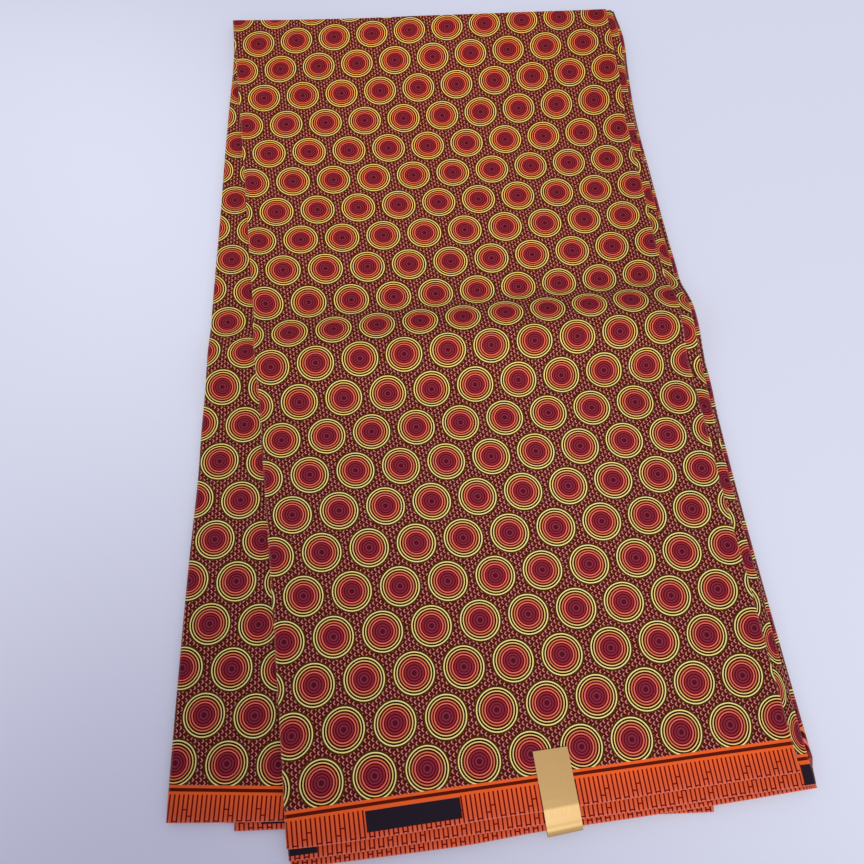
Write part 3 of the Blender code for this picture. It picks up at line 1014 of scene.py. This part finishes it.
def makeInnerFolds():
    f = foldsShape
    left, right = moved(fannedLeft, f["insetLeft"]), moved(thirdRight, -f["insetRight"])
    ledges = [moved(lowerLeft, -f["ledgeClear"] - f["ledgeStep"]), moved(lowerLeft, -f["ledgeClear"])]
    ledges += [moved(lowerRight, f["ledgeClear"]), moved(lowerRight, f["ledgeClear"] + f["ledgeStep"])]
    columns = [left] + [partWay(left, ledges[0], share) for share in f["sideColumns"]] + ledges[:2]
    middle = np.linspace(0.0, 1.0, f["middleColumns"])[1:-1]
    columns += [partWay(lowerLeft, lowerRight, share) for share in middle]
    columns += ledges[2:] + [partWay(ledges[3], right, share) for share in f["sideColumns"]] + [right]
    across, up = planGrid(left, right, endLine("hidden"), endLine("hiddenFold"), f["fine"], columns)

    def under(x, y):
        return np.zeros_like(x)

    def over(x, y):
        away = f["ledgeClear"] + f["ledgeStep"] * 0.5
        beside = (x < lowerLeft(y) - away) | (x > lowerRight(y) + away)
        return layHeight(x, y, layers["hiddenThick"] + np.where(beside, layers["wall"] + layers["gap"], 0.0))

    printOf = steadyPrint(f["ringAt"], thirdLattice["turn"])
    return clothShell("innerFolds", across, up, under, over, layeredEdge(f["rolls"]), printOf)


dress(makeInnerFolds(), printedCotton("innerCotton"), "hidden_layers", [])
for piece in panelPieces:
    cotton = printedCotton(piece["name"] + "Cotton", piece["flip"], piece["boxes"], piece["bars"])
    dress(panelShell(piece), cotton, piece["node"], piece["on"])
print("panels dressed")

# the gold strip: along the top panel, bent over the selvedge ends and tucked under the third panel
foilShape = {
    "wide": 20.4,
    "thick": 0.3,
    "middle": 31.8,
    "lean": 0.048,
    "topUp": 30.0,
    "twist": 0.016,
    "twistMore": 0.0012,
    "level": 8.6,
    # how far it has come down by each place up the cloth
    "drop": ((-13.3, 2.42), (-12.1, 1.92), (-10.4, 1.60), (-8.6, 1.42), (-6.2, 1.05), (-4.0, 0.64),
             (-1.8, 0.22), (-0.4, 0.03), (0.6, 0.0), (30.0, 0.0)),
    "bendUp": -13.7,
    "bendHigh": 5.0,
    "bendRound": 1.0,
    "bendTurn": (50.0, -91.0, -10.0),
    "tuckTo": -4.3,
    "tuckStep": 0.8,
    "fine": 0.4,
    "columns": 13,
    # it follows the cloth's relief from here up
    "reliefFrom": -2.0,
    "reliefOver": 6.0,
    "sharp": 50.0,
}

foilLook = {
    "darker": (181, 144, 90),
    "paler": (197, 159, 104),
    "brushed": 2600.0,
    "stretch": 0.03,
    "rough": 0.42,
    "roughMore": 0.16,
    "metal": 0.7,
    "coat": 0.45,
    "coatRough": 0.3,
    "strength": 0.2,
    "deep": 0.00003,
}


def foilLine():
    # middle line of the strip as places up the cloth and heights, with even fine steps
    f = foilShape
    up = np.arange(f["topUp"], f["drop"][0][0], -f["fine"])
    high = f["level"] - follow(f["drop"], up)
    turn = np.radians(np.arange(*f["bendTurn"]))
    tuck = np.arange(f["bendUp"] + f["tuckStep"], f["tuckTo"], f["tuckStep"])
    up = np.concatenate([up, f["bendUp"] - f["bendRound"] * np.cos(turn), tuck])
    low = np.full(len(tuck), f["bendHigh"] - f["bendRound"])
    return up, np.concatenate([high, f["bendHigh"] + f["bendRound"] * np.sin(turn), low])


def makeFoilStrip():
    f = foilShape
    lineUp, lineHigh = foilLine()
    along = f["topUp"] - lineUp
    run, rise = np.gradient(lineUp), np.gradient(lineHigh)
    size = np.hypot(run, rise)
    run, rise = run / size, rise / size
    travel = np.concatenate([[0.0], np.cumsum(np.hypot(np.diff(lineUp), np.diff(lineHigh)))])
    shares = np.linspace(-0.5, 0.5, f["columns"])
    onTop = np.clip((lineUp - f["reliefFrom"]) / f["reliefOver"], 0.0, 1.0)
    middle = f["middle"] + f["lean"] * along
    twist = f["twist"] + f["twistMore"] * along
    half = 0.5 * f["thick"]
    sheets, places = [], []
    for face, shareLine in ((1.0, shares), (-1.0, shares[::-1])):
        aside = shareLine * f["wide"]
        across = middle[:, None] + aside
        up = lineUp[:, None] + aside * twist[:, None] + face * rise[:, None] * half
        high = lineHigh[:, None] - face * run[:, None] * half
        high = high + onTop[:, None] * relief(across, up)
        sheets.append(np.stack([across, up, high], -1))
        places.append(np.stack([aside + 0.0 * across, travel[:, None] + 0.0 * across], -1))
    # one closed loop round each cross section, then a face at each end
    points = np.concatenate(sheets, axis=1)
    down, around = points.shape[:2]
    index = np.arange(down * around).reshape(down, around)
    onward = np.roll(index, -1, 1)
    quads = np.stack([index[:-1], onward[:-1], onward[1:], index[1:]], -1)
    faces = quads.reshape(-1, 4)[:, ::-1].tolist() + [index[0].tolist(), index[-1][::-1].tolist()]
    maps = {"foil": np.concatenate(places, axis=1).reshape(-1, 2)}
    strip = makeThing("foilStrip", points.reshape(-1, 3), faces, maps)
    strip.data.set_sharp_from_angle(angle=math.radians(f["sharp"]))
    return strip, travel[-1] * mm


def goldFoil():
    # brushed film, its grain drawn out along the strip
    material, s, shader = newMaterial("goldFoil")
    look = foilLook
    stretch = s.tree.nodes.new("ShaderNodeMapping")
    stretch.inputs["Scale"].default_value = (1.0, look["stretch"], 1.0)
    s.put(stretch.inputs["Vector"], s.uvMap("foil"))
    brushed = s.noise(stretch.outputs["Vector"], look["brushed"], 3.0)
    s.put(shader.inputs["Base Color"], s.blend(brushed, tint(*look["darker"]), tint(*look["paler"])))
    rough = s.do("ADD", look["rough"], s.do("MULTIPLY", brushed, look["roughMore"]))
    s.put(shader.inputs["Roughness"], rough)
    s.put(shader.inputs["Metallic"], look["metal"])
    s.put(shader.inputs["Coat Weight"], look["coat"])
    s.put(shader.inputs["Coat Roughness"], look["coatRough"])
    s.put(shader.inputs["Normal"], s.bump(brushed, look["strength"], look["deep"]))
    return material


foilStrip, foilLong = makeFoilStrip()
dress(foilStrip, goldFoil(), "foil_label", ["topCloth"])
print("foil strip dressed")

floorLook = {
    "wide": 6.0,
    "colour": (217, 219, 239),
    "deeper": 0.965,
    "grain": 900.0,
    "rough": 0.9,
    "shine": 0.2,
}


def makeFloor():
    look = floorLook
    bpy.ops.object.select_all(action="DESELECT")
    bpy.ops.mesh.primitive_plane_add(size=look["wide"], location=(0, 0, 0))
    floor = bpy.context.active_object
    floor.name = "floor"
    material, s, shader = newMaterial("paleFloor")
    place = s.tree.nodes.new("ShaderNodeTexCoord")
    grain = s.noise(place.outputs["Object"], look["grain"], 3.0)
    pale = tint(*look["colour"])
    deeper = tuple(value * look["deeper"] for value in pale[:3]) + (1.0,)
    s.put(shader.inputs["Base Color"], s.blend(grain, deeper, pale))
    s.put(shader.inputs["Roughness"], look["rough"])
    s.put(shader.inputs["Specular IOR Level"], look["shine"])
    floor.data.materials.append(material)


makeFloor()

studio = {
    "skyColour": (0.907, 0.888, 1.0),
    "skyStrength": 0.645,
    "lampColour": (0.97, 1.0, 0.84),
    "lampRadius": 0.06,
    # name, place, aim, full angle of the beam, softness of its edge, power
    "lamps": (
        ("keyLight", (0.30, -2.85, 4.0), (0.764, 0.428, 0.0), 26.74, 0.631, 509.0),
        ("fillLight", (-0.80, 1.20, 3.2), (-0.470, 0.107, 0.0), 15.22, 0.958, 206.0),
    ),
}

camera = {
    "place": (-0.03301, -0.18612, 0.43560),
    "turn": (16.738, -0.951, -6.585),
    "lens": 28.33,
    "sensor": 36.0,
    "nearest": 0.01,
}


def makeSky():
    world = bpy.data.worlds.new("studioSky")
    bpy.context.scene.world = world
    world.use_nodes = True
    sky = world.node_tree.nodes["Background"]
    sky.inputs["Color"].default_value = (*studio["skyColour"], 1.0)
    sky.inputs["Strength"].default_value = studio["skyStrength"]


def makeLamp(name, place, aim, cone, blend, power):
    # a soft lamp whose beam fades out over the floor
    data = bpy.data.lights.new(name, "SPOT")
    data.energy = power
    data.color = studio["lampColour"]
    data.spot_size = math.radians(cone)
    data.spot_blend = blend
    data.shadow_soft_size = studio["lampRadius"]
    lamp = bpy.data.objects.new(name, data)
    lamp.location = place
    lamp.rotation_euler = (Vector(aim) - Vector(place)).to_track_quat("-Z", "Y").to_euler()
    bpy.context.scene.collection.objects.link(lamp)


def makeCamera():
    data = bpy.data.cameras.new("photoCamera")
    data.lens = camera["lens"]
    data.sensor_width = camera["sensor"]
    data.clip_start = camera["nearest"]
    viewPoint = bpy.data.objects.new("photoCamera", data)
    viewPoint.location = camera["place"]
    viewPoint.rotation_euler = tuple(math.radians(value) for value in camera["turn"])
    bpy.context.scene.collection.objects.link(viewPoint)
    bpy.context.scene.camera = viewPoint
    bpy.context.scene.view_settings.view_transform = "Standard"


makeSky()
for lampParts in studio["lamps"]:
    makeLamp(*lampParts)
makeCamera()
print("stage set")
